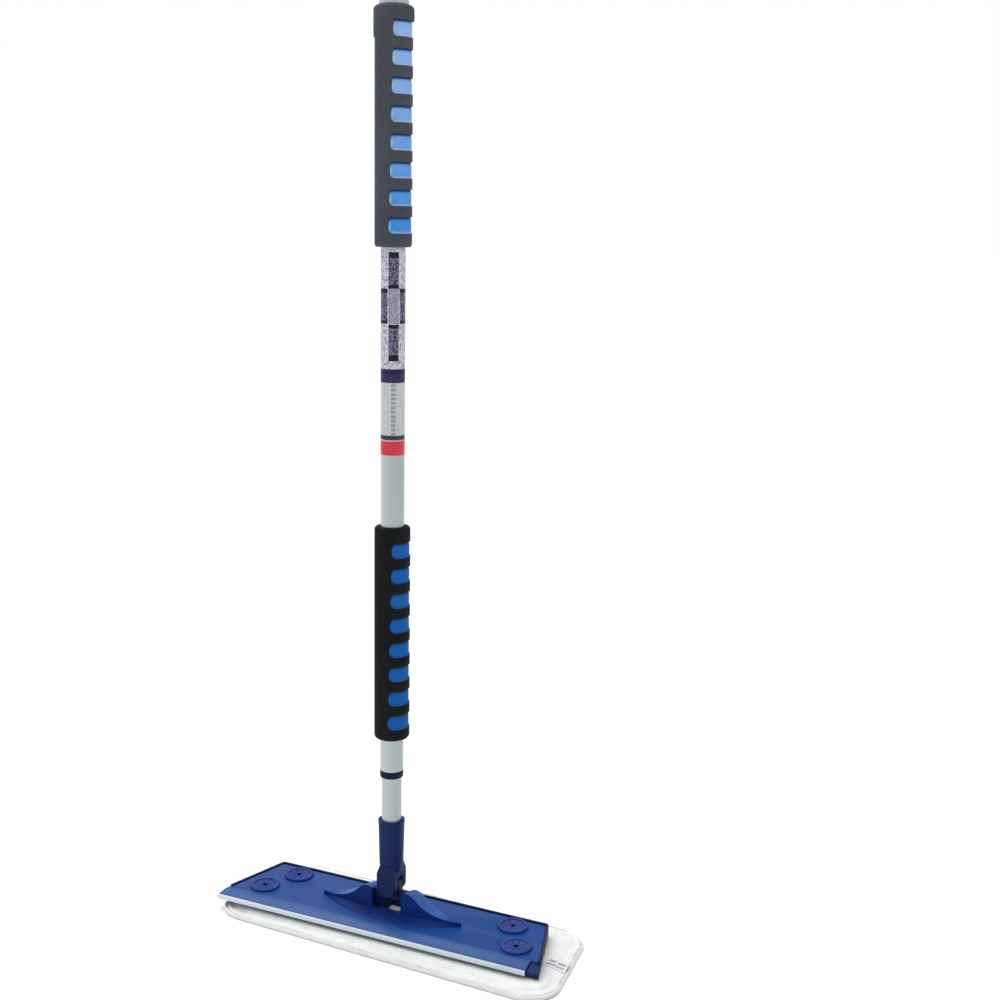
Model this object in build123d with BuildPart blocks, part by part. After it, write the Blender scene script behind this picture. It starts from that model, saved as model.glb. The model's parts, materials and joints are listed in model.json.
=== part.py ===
"""Telescopic flat mop: twist-lock handle, two-way tilting joint, trapezoid head plate and pad.

Frame: origin on the floor under the handle's axis, +X along the head plate, +Y to its back, +Z up.
"""
import os
from math import cos, degrees, radians, sin

from build123d import *

os.makedirs("parts", exist_ok=True)

# ---- Driving dimensions, mm ------------------------------------------------------------------

# Mop pad: a trapezoid, longer at the front, laid slightly askew under the plate.
pad_thickness = 7.4
pad_front_half = 214.0
pad_back_half = 192.0
pad_half_depth = 76.0
pad_center = (14.0, 6.0)
pad_turn = -2.3
pad_corner = 34.0
pile_thickness = 4.0
backing_thickness = 1.2
binding_width = 3.0

# Head plate: a trapezoid tray with its open side down.
plate_bottom = 9.0
plate_top = 20.0
plate_skin = 3.0
plate_back_y = 46.7
plate_back_half = 171.0
plate_front_y = -45.0
crease_y = -30.7
end_slope = 0.29
plate_corner = 5.0
rim_height = 1.6
rim_width = 2.5
hook_strip_height = 1.5
hook_strip_depth = 24.0

# Bumper along the front edge, cut square short of the plate's right end.
bumper_wall = 2.2
bumper_front_y = plate_front_y - bumper_wall
bumper_nose_z = 16.6
bumper_right_x = 183.0
lip_thickness = 2.0
lip_bottom = 10.9

# Cloth grippers: slit rubber discs snapped into round holes.
gripper_hole = 14.0
gripper_radius = 16.8
gripper_rise = 2.6
gripper_petal = 1.6
gripper_places = {
    "front_left": (-158.0, -13.0),
    "back_left": (-137.0, 26.0),
    "back_right": (137.0, 26.0),
    "front_right": (158.0, -13.0),
}

# Two-way joint.
lower_pin_z = 38.5
lower_pin_radius = 4.0
lower_pin_half = 29.0
upper_pin_z = 52.0
upper_pin_radius = 3.0
wing_gap_half = 18.0
wing_half_depth = 12.0
wing_tip_x = 87.0
wing_back_scale = 0.77
base_half_length = 86.0
base_half_depth = 27.0
base_rise = 4.5
barrel_radius = 7.3
tongue_half = 6.8
ear_radius = 11.0
ear_shoulder_z = 68.0
ear_top_z = 78.0
fork_half_depth = 13.8
running_gap = 0.05

# Handle socket and tubes.
socket_top = 128.6
socket_top_radius = 14.3
socket_low_radius = 13.2
socket_bottom = 70.0
socket_solid_z = 74.0
fork_slot_top = 63.0
inner_tube_radius = 10.8
inner_tube_wall = 1.0
inner_tube_top = 873.0
outer_tube_radius = 12.5
outer_tube_wall = 1.1
outer_tube_bottom = 187.5
outer_tube_top = 982.5
collar_bottom = 179.5
collar_radius = 12.7
sleeve_length = 24.0
cutter_overrun = 10.0

# Twist lock: an eccentric journal carries an eccentric cam that jams in the outer tube.
journal_radius = 6.0
eccentricity = 0.5
cam_radius = 10.3
cam_height = 18.0
guide_radius = 11.3
guide_height = 14.0
neck_radius = 5.0

# Hand grips: a blue core under a dark skin with a column of finger windows on the +X side.
core_radius = 17.5
skin_radius = 19.0
window_count = 8
window_pitch = 27.0
window_height = 16.4
upper_window_corner = 3.2
lower_window_corner = 5.0
window_top_angle = 64.0
window_bottom_angle = 76.0
upper_first_window = 959.1
lower_first_window = 435.0
cutter_depth = 5.0
cutter_overreach = 41.0
corner_start = 14.0
flare_radius = 20.2
flare_length = 31.0

# Printed film and cap.
film_thickness = 0.15
label_bottom = 551.8
label_top = 745.8
marker_bottom = 535.8
marker_top = 550.6
cap_radius = 14.8
cap_top = 992.0


def half_length(y):
    """Half of the plate's length at depth y."""
    return plate_back_half + (plate_back_y - y) * end_slope


def save(piece, name):
    """Label a finished piece and write its STEP file."""
    piece.part.label = name
    export_step(piece.part, f"parts/{name}.step")


# ---- Mop pad ---------------------------------------------------------------------------------


def pad_outline(height, inset):
    """Rounded trapezoid of the pad at a height, drawn in by inset all round."""
    with BuildSketch(Plane.XY.offset(height)) as outline:
        with Locations(Location((*pad_center, 0), (0, 0, pad_turn))):
            Polygon(
                (inset - pad_front_half, inset - pad_half_depth),
                (pad_front_half - inset, inset - pad_half_depth),
                (pad_back_half - inset, pad_half_depth - inset),
                (inset - pad_back_half, pad_half_depth - inset),
                align=None,
            )
        fillet(outline.vertices(), pad_corner - inset)
    return outline.sketch


core_bottom = pile_thickness
backing_bottom = pad_thickness - backing_thickness

with BuildPart() as pad_pile:
    add(pad_outline(0, binding_width))
    extrude(amount=pile_thickness)
save(pad_pile, "pad_pile")

with BuildPart() as pad_core:
    add(pad_outline(core_bottom, binding_width))
    extrude(amount=backing_bottom - core_bottom)
save(pad_core, "pad_core")

with BuildPart() as pad_backing:
    add(pad_outline(backing_bottom, binding_width))
    extrude(amount=backing_thickness)
save(pad_backing, "pad_backing")

binding_bottom = 0.4
binding_top = 4.6
binding_round = 1.4
with BuildPart() as pad_binding:
    add(pad_outline(binding_bottom, 0))
    extrude(amount=binding_top - binding_bottom)
    fillet(pad_binding.faces().sort_by(Axis.Z)[-1].edges(), binding_round)
    fillet(pad_binding.faces().sort_by(Axis.Z)[0].edges(), binding_round)
    add(pad_outline(binding_bottom, binding_width))
    extrude(amount=binding_top - binding_bottom, mode=Mode.SUBTRACT)
save(pad_binding, "pad_binding")

tag_size = (26.0, 17.0)
tag_center = (202.0, -6.0)
tag_thickness = 0.4
with BuildPart() as pad_tag:
    with BuildSketch(Plane.XY.offset(pad_thickness)):
        with Locations(Location((*tag_center, 0), (0, 0, pad_turn))):
            RectangleRounded(*tag_size, 1.5)
    extrude(amount=tag_thickness)
save(pad_tag, "pad_tag")

# ---- Head plate ------------------------------------------------------------------------------


def plate_outline(front_y, back_y, inset=0.0):
    """Corners of the plate's trapezoid between two depths, its ends drawn in by inset."""
    front = half_length(front_y) - inset
    back = half_length(back_y) - inset
    return [(-front, front_y), (front, front_y), (back, back_y), (-back, back_y)]


screw_radius = 2.0
screw_head_radius = 4.0
screw_head_height = 2.6
screw_seat_z = plate_bottom + 3.0
screw_tips = {40.0: 34.0, 62.0: 26.0}
screw_places = [(side * x, tip) for x, tip in screw_tips.items() for side in (-1, 1)]

band_slope_drop = 3.4
band_under_z = plate_top - 2.5
pocket_column = 44.0
pocket_width = 41.0
pocket_rows = {-17.5: (3, 24.0), 33.0: (3, 19.5)}
side_pocket_rows = {8.5: 24.0}

with BuildPart() as head_plate:
    with BuildSketch(Plane.YZ):
        with BuildLine():
            Polyline(
                (plate_back_y, plate_bottom),
                (plate_back_y, plate_top),
                (crease_y, plate_top),
                (crease_y, band_under_z),
                (plate_front_y, band_under_z - band_slope_drop),
                (plate_front_y, plate_bottom),
                close=True,
            )
        make_face()
    extrude(amount=half_length(plate_front_y), both=True)
    with BuildSketch(Plane.XY.offset(plate_bottom)) as plate_plan:
        Polygon(*plate_outline(plate_front_y, plate_back_y), align=None)
        fillet(plate_plan.vertices().group_by(Axis.Y)[-1], plate_corner)
    extrude(amount=plate_top - plate_bottom, mode=Mode.INTERSECT)
    # A low raised bead along the back and both ends.
    with BuildSketch(Plane.XY.offset(plate_top)) as rim_plan:
        Polygon(*plate_outline(crease_y, plate_back_y), align=None)
        fillet(rim_plan.vertices().group_by(Axis.Y)[-1], plate_corner)
        Polygon(
            *plate_outline(crease_y - 1, plate_back_y - rim_width, rim_width),
            align=None,
            mode=Mode.SUBTRACT,
        )
    extrude(amount=rim_height)
    # Pockets between the ribs of the underside.
    with BuildSketch(Plane.XY.offset(plate_bottom)):
        for row_y, (reach, depth) in pocket_rows.items():
            for column in range(-reach, reach + 1):
                with Locations((column * pocket_column, row_y)):
                    RectangleRounded(pocket_width, depth, 2)
        for row_y, depth in side_pocket_rows.items():
            for column in (-3, -2, 2, 3):
                with Locations((column * pocket_column, row_y)):
                    RectangleRounded(pocket_width, depth, 2)
    extrude(amount=plate_top - plate_skin - plate_bottom, mode=Mode.SUBTRACT)
    # Holes under the cloth grippers.
    with BuildSketch(Plane.XY.offset(plate_bottom)):
        with Locations(*gripper_places.values()):
            Circle(gripper_hole)
    extrude(amount=plate_top - plate_bottom, mode=Mode.SUBTRACT)
    # Counterbored holes for the screws that come up from below.
    with BuildSketch(Plane.XY.offset(plate_bottom)):
        with Locations(*[(x, 0) for x, _ in screw_places]):
            Circle(screw_head_radius + 0.3)
    extrude(amount=screw_seat_z - plate_bottom, mode=Mode.SUBTRACT)
    with BuildSketch(Plane.XY.offset(plate_bottom)):
        with Locations(*[(x, 0) for x, _ in screw_places]):
            Circle(screw_radius + running_gap)
    extrude(amount=plate_top - plate_bottom, mode=Mode.SUBTRACT)
save(head_plate, "head_plate")

# The strips lie clear of the screw heads, one on each side of the middle.
strip_rows = {"hook_strip_front": -26.0, "hook_strip_back": 22.0}
strip_end_margin = 12.0
for strip_name, row_y in strip_rows.items():
    half = half_length(row_y + hook_strip_depth / 2) - strip_end_margin
    with BuildPart() as hook_strip:
        with BuildSketch(Plane.XY.offset(plate_bottom - hook_strip_height)):
            with Locations((0, row_y)):
                RectangleRounded(2 * half, hook_strip_depth, 3)
        extrude(amount=hook_strip_height)
    save(hook_strip, strip_name)

# Bumper: a rolled band over the plate's front land, its left end cut along the plate's end.
bumper_depth_line = plate_outline(bumper_front_y - lip_thickness, crease_y)


def trim_bumper(height):
    """Plan of the bumper from the plate's slanted left end to its square right end."""
    (front_left, front_y), _, _, (back_left, back_y) = bumper_depth_line
    with BuildSketch(Plane.XY.offset(height)) as plan:
        Polygon(
            (front_left, front_y),
            (bumper_right_x, front_y),
            (bumper_right_x, back_y),
            (back_left, back_y),
            align=None,
        )
    return plan.sketch


with BuildPart() as front_bumper:
    with BuildSketch(Plane.YZ):
        with BuildLine():
            Polyline(
                (bumper_front_y, bumper_nose_z),
                (bumper_front_y, lip_bottom + 0.6),
                (plate_front_y, lip_bottom + 0.6),
                (plate_front_y, band_under_z - band_slope_drop),
                (crease_y, band_under_z),
                (crease_y, plate_top),
            )
            ThreePointArc(
                (crease_y, plate_top),
                ((crease_y + bumper_front_y) / 2, plate_top - 0.5),
                (bumper_front_y, bumper_nose_z),
            )
        make_face()
    extrude(amount=half_length(bumper_front_y) + 2, both=True)
    add(trim_bumper(0))
    extrude(amount=plate_top, mode=Mode.INTERSECT)
save(front_bumper, "front_bumper")

with BuildPart() as bumper_lip:
    with BuildSketch(Plane.YZ):
        with BuildLine():
            Polyline(
                (bumper_front_y, bumper_nose_z),
                (bumper_front_y, lip_bottom),
                (bumper_front_y - lip_thickness / 2, lip_bottom),
            )
            ThreePointArc(
                (bumper_front_y - lip_thickness / 2, lip_bottom),
                (bumper_front_y - lip_thickness, (lip_bottom + bumper_nose_z) / 2),
                (bumper_front_y - lip_thickness / 4, bumper_nose_z),
            )
            Line(
                (bumper_front_y - lip_thickness / 4, bumper_nose_z),
                (bumper_front_y, bumper_nose_z),
            )
        make_face()
    extrude(amount=half_length(bumper_front_y) + 2, both=True)
    add(trim_bumper(0))
    extrude(amount=plate_top, mode=Mode.INTERSECT)
save(bumper_lip, "bumper_lip")

# Cloth grippers: a raised rim with a scalloped edge, eight petals and a snap skirt below.
scallop_count = 16
scallop_radius = 1.3
slit_count = 8
slit_width = 0.7
slit_reach = 12.4
gripper_eye = 2.6
for place, (center_x, center_y) in gripper_places.items():
    with BuildPart() as cloth_gripper:
        with BuildSketch(Plane.XY.offset(plate_top)):
            with Locations((center_x, center_y)):
                Circle(gripper_radius)
                with PolarLocations(gripper_radius + scallop_radius / 2, scallop_count):
                    Circle(scallop_radius, mode=Mode.SUBTRACT)
        extrude(amount=gripper_rise)
        top_edges = cloth_gripper.faces().sort_by(Axis.Z)[-1].outer_wire().edges()
        chamfer(top_edges, 0.7)
        with BuildSketch(Plane.XY.offset(plate_top + gripper_rise)):
            with Locations((center_x, center_y)):
                Circle(gripper_hole - 1.0)
        extrude(amount=-(gripper_rise - gripper_petal), mode=Mode.SUBTRACT)
        with BuildSketch(Plane.XY.offset(plate_top)):
            with Locations((center_x, center_y)):
                Circle(gripper_hole - 0.1)
                Circle(gripper_hole - 1.5, mode=Mode.SUBTRACT)
        extrude(amount=-plate_skin)
        with BuildSketch(Plane.XY.offset(plate_top)):
            with Locations((center_x, center_y)):
                Circle(gripper_eye)
                with PolarLocations(slit_reach / 2, slit_count):
                    Rectangle(slit_reach, slit_width)
        extrude(amount=gripper_rise, mode=Mode.SUBTRACT)
    save(cloth_gripper, f"cloth_gripper_{place}")

# ---- Pivot base ------------------------------------------------------------------------------


def lens(half_long, half_deep):
    """Outline of a lens between two arcs that meet in points on the X axis."""
    with BuildLine() as edge:
        ThreePointArc((-half_long, 0), (0, -half_deep), (half_long, 0))
        ThreePointArc((half_long, 0), (0, half_deep), (-half_long, 0))
    return edge.line


base_top = plate_top + base_rise
hub_top = 50.0
hub_end_x = 27.0
strap_thickness = 1.5
strap_half = (46.0, 10.6)
keeper_half = 3.9
keeper_end = 28.0
floor_window = (17.0, 16.0)
floor_window_center = (3.5, 2.0)
keeper_floor_end = -5.0
pin_bore = lower_pin_radius + 0.02


def wing_profile(side, scale):
    """One wing seen from the front, its height above the base scaled for the back of the wing."""

    def at(x, z):
        return side * x, base_top + (z - base_top) * scale

    gap = side * wing_gap_half
    with BuildLine() as edge:
        Spline(
            at(hub_end_x, hub_top),
            at(37.0, 43.0),
            at(48.0, 34.4),
            at(62.0, 28.4),
            at(wing_tip_x, base_top),
            tangents=[(side * 1.0, -0.3 * scale), (side * 1.0, -0.05)],
        )
        Line(at(wing_tip_x, base_top), (side * wing_tip_x, plate_top))
        Line((side * wing_tip_x, plate_top), (gap, plate_top))
        Line((gap, plate_top), at(wing_gap_half, hub_top - 3.0))
        ThreePointArc(
            at(wing_gap_half, hub_top - 3.0),
            at(wing_gap_half + 2.6, hub_top - 0.5),
            at(hub_end_x, hub_top),
        )
    return edge.line


with BuildPart() as wing_blank:
    for side in (-1, 1):
        with BuildSketch(Plane.XZ.offset(wing_half_depth)):
            add(wing_profile(side, 1.0))
            make_face()
        with BuildSketch(Plane.XZ.offset(-wing_half_depth)):
            add(wing_profile(side, wing_back_scale))
            make_face()
        loft(ruled=True)
    with BuildSketch(Plane.XY):
        add(lens(wing_tip_x, wing_half_depth + 1.2))
        make_face()
    extrude(amount=hub_top + 5, mode=Mode.INTERSECT)

with BuildPart() as pivot_base:
    with BuildSketch(Plane.XY.offset(plate_top)):
        add(lens(base_half_length, base_half_depth))
        make_face()
    with BuildSketch(Plane.XY.offset(base_top)):
        add(lens(base_half_length - 3, wing_half_depth + 1.2))
        make_face()
    loft()
    add(wing_blank.part)
    # Window in the floor under the joint, which shows the steel strap.
    with BuildSketch(Plane.XY.offset(plate_top)):
        with Locations(floor_window_center):
            Rectangle(*floor_window)
    extrude(amount=base_rise + 1, mode=Mode.SUBTRACT)
    # Seat of the steel strap and the slots above it that the pin passes on its way up.
    with BuildSketch(Plane.XY.offset(plate_top)):
        Rectangle(2 * strap_half[0] + 0.4, 2 * strap_half[1] + 0.4)
    extrude(amount=strap_thickness + 0.1, mode=Mode.SUBTRACT)
    with BuildSketch(Plane.XY.offset(plate_top)):
        Rectangle(2 * lower_pin_half + 0.2, 2 * pin_bore)
    extrude(amount=lower_pin_z - plate_top, mode=Mode.SUBTRACT)
    with BuildSketch(Plane.YZ):
        with Locations((0, lower_pin_z)):
            Circle(pin_bore)
    extrude(amount=lower_pin_half + 0.1, both=True, mode=Mode.SUBTRACT)
    for x, tip in screw_places:
        with BuildSketch(Plane.XY.offset(plate_top)):
            with Locations((x, 0)):
                Circle(screw_radius + running_gap)
        extrude(amount=tip + 0.3 - plate_top, mode=Mode.SUBTRACT)
save(pivot_base, "pivot_base")

strap_top = plate_top + strap_thickness
with BuildPart() as pin_strap:
    with BuildSketch(Plane.XY.offset(plate_top)):
        RectangleRounded(2 * strap_half[0], 2 * strap_half[1], 3)
        with Locations((-40.0, 0), (40.0, 0)):
            Circle(screw_radius + running_gap, mode=Mode.SUBTRACT)
    extrude(amount=strap_thickness)
save(pin_strap, "pin_strap")

for side, keeper_name in ((-1, "pin_keeper_left"), (1, "pin_keeper_right")):
    keeper_middle = (wing_gap_half + keeper_end) / 2
    with BuildPart() as pin_keeper:
        with BuildSketch(Plane.XY.offset(strap_top + 0.1)):
            with Locations((side * keeper_middle, 0)):
                Rectangle(keeper_end - wing_gap_half, 2 * keeper_half)
        extrude(amount=lower_pin_z - strap_top - 0.1)
        if side < 0:
            # The left keeper also fills the pin's slot in the floor under the joint.
            with BuildSketch(Plane.XY.offset(strap_top + 0.1)):
                with Locations(((keeper_floor_end - wing_gap_half) / 2, 0)):
                    Rectangle(wing_gap_half + keeper_floor_end, 2 * keeper_half)
            extrude(amount=base_top - strap_top - 0.2)
        with BuildSketch(Plane.YZ):
            with Locations((0, lower_pin_z)):
                Circle(pin_bore)
        extrude(amount=lower_pin_half + 1, both=True, mode=Mode.SUBTRACT)
    save(pin_keeper, keeper_name)

with BuildPart() as base_screws:
    for x, tip in screw_places:
        with BuildSketch(Plane.XY.offset(screw_seat_z)):
            with Locations((x, 0)):
                Circle(screw_radius)
        extrude(amount=tip - screw_seat_z)
        with BuildSketch(Plane.XY.offset(screw_seat_z)):
            with Locations((x, 0)):
                Circle(screw_head_radius)
        extrude(amount=-screw_head_height)
        with BuildSketch(Plane.XY.offset(screw_seat_z - screw_head_height)):
            with Locations((x, 0)):
                Rectangle(4.6, 1.0)
                Rectangle(1.0, 4.6)
        extrude(amount=1.4, mode=Mode.SUBTRACT)
save(base_screws, "base_screws")

with BuildPart() as lower_pin:
    with BuildSketch(Plane.YZ):
        with Locations((0, lower_pin_z)):
            Circle(lower_pin_radius)
    extrude(amount=lower_pin_half, both=True)
    chamfer(lower_pin.edges(), 0.6)
save(lower_pin, "lower_pin")

# ---- Cross block -----------------------------------------------------------------------------

tongue_radius = 10.7
lug_half_depth = 6.0
lug_bottom = 27.2
lug_right_x = -2.0
with BuildPart() as cross_block:
    # A stop lug hangs from the left half of the barrel.
    barrel_half = wing_gap_half - 0.3
    with BuildSketch(Plane.XY.offset(lug_bottom)):
        with Locations(((lug_right_x - barrel_half) / 2, 0)):
            Rectangle(barrel_half + lug_right_x, 2 * lug_half_depth)
    extrude(amount=lower_pin_z - lug_bottom)
    fillet(cross_block.faces().sort_by(Axis.Z)[0].edges(), 1.2)
    with BuildSketch(Plane.YZ):
        with Locations((0, lower_pin_z)):
            Circle(barrel_radius)
    extrude(amount=barrel_half, both=True)
    with BuildSketch(Plane.XZ):
        with Locations((0, upper_pin_z)):
            Circle(tongue_radius)
        with Locations((0, (upper_pin_z + lower_pin_z) / 2)):
            Rectangle(2 * tongue_radius, upper_pin_z - lower_pin_z)
    extrude(amount=tongue_half, both=True)
    with BuildSketch(Plane.YZ):
        with Locations((0, lower_pin_z)):
            Circle(lower_pin_radius + running_gap)
    extrude(amount=wing_gap_half, both=True, mode=Mode.SUBTRACT)
    with BuildSketch(Plane.XZ):
        with Locations((0, upper_pin_z)):
            Circle(upper_pin_radius + running_gap)
    extrude(amount=tongue_half + 1, both=True, mode=Mode.SUBTRACT)
save(cross_block, "cross_block")

# ---- Handle socket with its fork -------------------------------------------------------------

rim_band = 3.4
rim_radius = socket_top_radius + 0.3
cap_recess = 1.6
pin_cap_radius = 4.4
upper_pin_half = fork_half_depth - cap_recess
rivet_z = 106.0
rivet_radius = 2.4
rivet_head_radius = 4.6
rivet_head_height = 1.3

with BuildPart() as handle_socket:
    with BuildSketch(Plane.XZ):
        with BuildLine():
            Polyline(
                (0, socket_bottom),
                (socket_low_radius - 1.2, socket_bottom),
                (socket_low_radius, socket_bottom + 8),
                (socket_top_radius, socket_top - rim_band),
                (rim_radius, socket_top - rim_band + 0.6),
                (rim_radius, socket_top),
                (0, socket_top),
                close=True,
            )
        make_face()
    revolve(axis=Axis.Z)
    # The fork's ears, round below and running up into the socket.
    with BuildSketch(Plane.XZ):
        with Locations((0, upper_pin_z)):
            Circle(ear_radius)
        with BuildLine():
            Polyline(
                (-ear_radius, upper_pin_z),
                (ear_radius, upper_pin_z),
                (ear_radius, ear_shoulder_z),
                (ear_radius - 4, ear_top_z),
                (4 - ear_radius, ear_top_z),
                (-ear_radius, ear_shoulder_z),
                close=True,
            )
        make_face()
    extrude(amount=fork_half_depth, both=True)
    slot_half = tongue_half + 0.3
    with BuildSketch(Plane.YZ):
        with BuildLine():
            Polyline(
                (-slot_half, upper_pin_z - ear_radius - 1),
                (slot_half, upper_pin_z - ear_radius - 1),
                (slot_half, fork_slot_top),
                (-slot_half, fork_slot_top),
                close=True,
            )
        make_face()
    extrude(amount=socket_top_radius + 4, both=True, mode=Mode.SUBTRACT)
    with BuildSketch(Plane.XY.offset(socket_top)):
        Circle(inner_tube_radius + running_gap)
    extrude(amount=socket_solid_z - socket_top, mode=Mode.SUBTRACT)
    with BuildSketch(Plane.XZ):
        with Locations((0, upper_pin_z)):
            Circle(upper_pin_radius + 0.02)
    extrude(amount=fork_half_depth, both=True, mode=Mode.SUBTRACT)
    for side in (-1, 1):
        with BuildSketch(Plane.XZ.offset(side * fork_half_depth)):
            with Locations((0, upper_pin_z)):
                Circle(pin_cap_radius + 0.02)
        extrude(amount=-side * cap_recess, mode=Mode.SUBTRACT)
    with BuildSketch(Plane.XZ):
        with Locations((0, rivet_z)):
            Circle(rivet_radius + 0.02)
    extrude(amount=-(socket_top_radius + 2), mode=Mode.SUBTRACT)
save(handle_socket, "handle_socket")

with BuildPart() as upper_pin:
    with BuildSketch(Plane.XZ):
        with Locations((0, upper_pin_z)):
            Circle(upper_pin_radius)
    extrude(amount=upper_pin_half - 0.1, both=True)
    chamfer(upper_pin.edges(), 0.5)
save(upper_pin, "upper_pin")

with BuildPart() as pin_caps:
    for side in (-1, 1):
        with BuildSketch(Plane.XZ.offset(side * fork_half_depth)):
            with Locations((0, upper_pin_z)):
                Circle(pin_cap_radius)
        extrude(amount=-side * (cap_recess - 0.05))
save(pin_caps, "pin_caps")

socket_rivet_y = 14.05
with BuildPart() as socket_rivet:
    with BuildSketch(Plane.XZ.offset(-(inner_tube_radius - 2.2))):
        with Locations((0, rivet_z)):
            Circle(rivet_radius)
    extrude(amount=-(socket_rivet_y - inner_tube_radius + 2.2))
    with BuildSketch(Plane.XZ.offset(-socket_rivet_y)):
        with Locations((0, rivet_z)):
            Circle(rivet_head_radius)
    extrude(amount=-rivet_head_height)
    fillet(socket_rivet.faces().sort_by(Axis.Y)[-1].edges(), 1.0)
save(socket_rivet, "socket_rivet")

# ---- Inner tube and twist lock ---------------------------------------------------------------

with BuildPart() as inner_tube:
    with BuildSketch(Plane.XY.offset(socket_solid_z + 0.5)):
        Circle(inner_tube_radius)
        Circle(inner_tube_radius - inner_tube_wall, mode=Mode.SUBTRACT)
    extrude(amount=inner_tube_top - socket_solid_z - 0.5)
    with BuildSketch(Plane.XZ):
        with Locations((0, rivet_z)):
            Circle(rivet_radius + 0.02)
    extrude(amount=-(inner_tube_radius + 1), mode=Mode.SUBTRACT)
save(inner_tube, "inner_tube")

plug_length = 26.0
flange_thickness = 3.0
cam_bottom = inner_tube_top + flange_thickness + 0.3
journal_top = cam_bottom + cam_height + 0.3
washer_top = journal_top + 1.0
guide_bottom = washer_top + 0.2
guide_top = guide_bottom + guide_height
with BuildPart() as lock_plug:
    with BuildSketch(Plane.XY.offset(inner_tube_top - plug_length)):
        Circle(inner_tube_radius - inner_tube_wall - 0.02)
    extrude(amount=plug_length)
    with BuildSketch(Plane.XY.offset(inner_tube_top)):
        Circle(inner_tube_radius)
    extrude(amount=flange_thickness)
    with BuildSketch(Plane.XY.offset(inner_tube_top + flange_thickness)):
        with Locations((eccentricity, 0)):
            Circle(journal_radius)
    extrude(amount=journal_top - inner_tube_top - flange_thickness)
    with BuildSketch(Plane.XY.offset(journal_top)):
        Circle(journal_radius + 1.5)
    extrude(amount=washer_top - journal_top)
    with BuildSketch(Plane.XY.offset(washer_top)):
        Circle(neck_radius)
    extrude(amount=guide_top + 0.2 - washer_top)
    with BuildSketch(Plane.XY.offset(guide_top + 0.2)):
        Circle(1.55)
    extrude(amount=-12, mode=Mode.SUBTRACT)
save(lock_plug, "lock_plug")

with BuildPart() as lock_cam:
    with BuildSketch(Plane.XY.offset(cam_bottom)):
        with Locations((2 * eccentricity, 0)):
            Circle(cam_radius)
        with Locations((eccentricity, 0)):
            Circle(journal_radius + running_gap, mode=Mode.SUBTRACT)
        with Locations((-cam_radius, 0)):
            Rectangle(2 * cam_radius - 8, 2.4, mode=Mode.SUBTRACT)
    extrude(amount=cam_height)
save(lock_cam, "lock_cam")

with BuildPart() as guide_bush:
    with BuildSketch(Plane.XY.offset(guide_bottom)):
        Circle(guide_radius)
        Circle(neck_radius + running_gap, mode=Mode.SUBTRACT)
    extrude(amount=guide_height)
    chamfer(guide_bush.faces().sort_by(Axis.Z)[-1].outer_wire().edges(), 0.8)
save(guide_bush, "guide_bush")

with BuildPart() as lock_screw:
    with BuildSketch(Plane.XY.offset(guide_top + 0.4)):
        Circle(6.5)
    extrude(amount=2.4)
    fillet(lock_screw.faces().sort_by(Axis.Z)[-1].edges(), 0.8)
    with BuildSketch(Plane.XY.offset(guide_top + 0.4)):
        Circle(1.5)
    extrude(amount=-11)
save(lock_screw, "lock_screw")

# ---- Outer tube and its ends -----------------------------------------------------------------

with BuildPart() as outer_tube:
    with BuildSketch(Plane.XY.offset(outer_tube_bottom)):
        Circle(outer_tube_radius)
        Circle(outer_tube_radius - outer_tube_wall, mode=Mode.SUBTRACT)
    extrude(amount=outer_tube_top - outer_tube_bottom)
save(outer_tube, "outer_tube")

with BuildPart() as tube_collar:
    with BuildSketch(Plane.XY.offset(collar_bottom)):
        Circle(collar_radius)
    extrude(amount=outer_tube_bottom - collar_bottom)
    fillet(tube_collar.faces().sort_by(Axis.Z)[0].edges(), 1.0)
    with BuildSketch(Plane.XY.offset(outer_tube_bottom)):
        Circle(outer_tube_radius - outer_tube_wall - 0.02)
    extrude(amount=sleeve_length)
    with BuildSketch(Plane.XY.offset(collar_bottom)):
        Circle(inner_tube_radius + running_gap)
    extrude(amount=sleeve_length + 2 * cutter_overrun, mode=Mode.SUBTRACT)
save(tube_collar, "tube_collar")

cap_plug_length = 18.0
cap_band = 3.2
cap_groove = 0.9
cap_flat = 3.0
with BuildPart() as top_cap:
    with BuildSketch(Plane.XZ):
        with BuildLine():
            Polyline(
                (cap_flat, cap_top),
                (0, cap_top),
                (0, outer_tube_top - cap_plug_length),
                (outer_tube_radius - outer_tube_wall - 0.02, outer_tube_top - cap_plug_length),
                (outer_tube_radius - outer_tube_wall - 0.02, outer_tube_top),
                (cap_radius, outer_tube_top),
                (cap_radius, outer_tube_top + cap_band),
                (cap_radius - cap_groove, outer_tube_top + cap_band),
                (cap_radius - cap_groove, outer_tube_top + cap_band + cap_groove),
                (cap_radius - 0.3, outer_tube_top + cap_band + cap_groove),
            )
            ThreePointArc(
                (cap_radius - 0.3, outer_tube_top + cap_band + cap_groove),
                (cap_radius * 0.65, cap_top - 1.8),
                (cap_flat, cap_top),
            )
        make_face()
    revolve(axis=Axis.Z)
save(top_cap, "top_cap")

# ---- Hand grips ------------------------------------------------------------------------------


def window_angle(number):
    """Half of a window's sweep about +X, wider towards the bottom of the grip."""
    step = (window_bottom_angle - window_top_angle) / (window_count - 1)
    return window_top_angle + number * step


def wedge(half_angle, bottom_z, height):
    """Block that fans out from near the axis to well outside the grip, facing +X."""
    inner, reach = core_radius - cutter_depth, skin_radius + cutter_overreach
    x, y = cos(radians(half_angle)), sin(radians(half_angle))
    with BuildPart() as block:
        with BuildSketch(Plane.XY.offset(bottom_z)):
            Polygon(
                (inner * x, -inner * y),
                (reach * x, -reach * y),
                (reach, 0),
                (reach * x, reach * y),
                (inner * x, inner * y),
                align=None,
            )
        extrude(amount=height)
    return block.part


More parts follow.
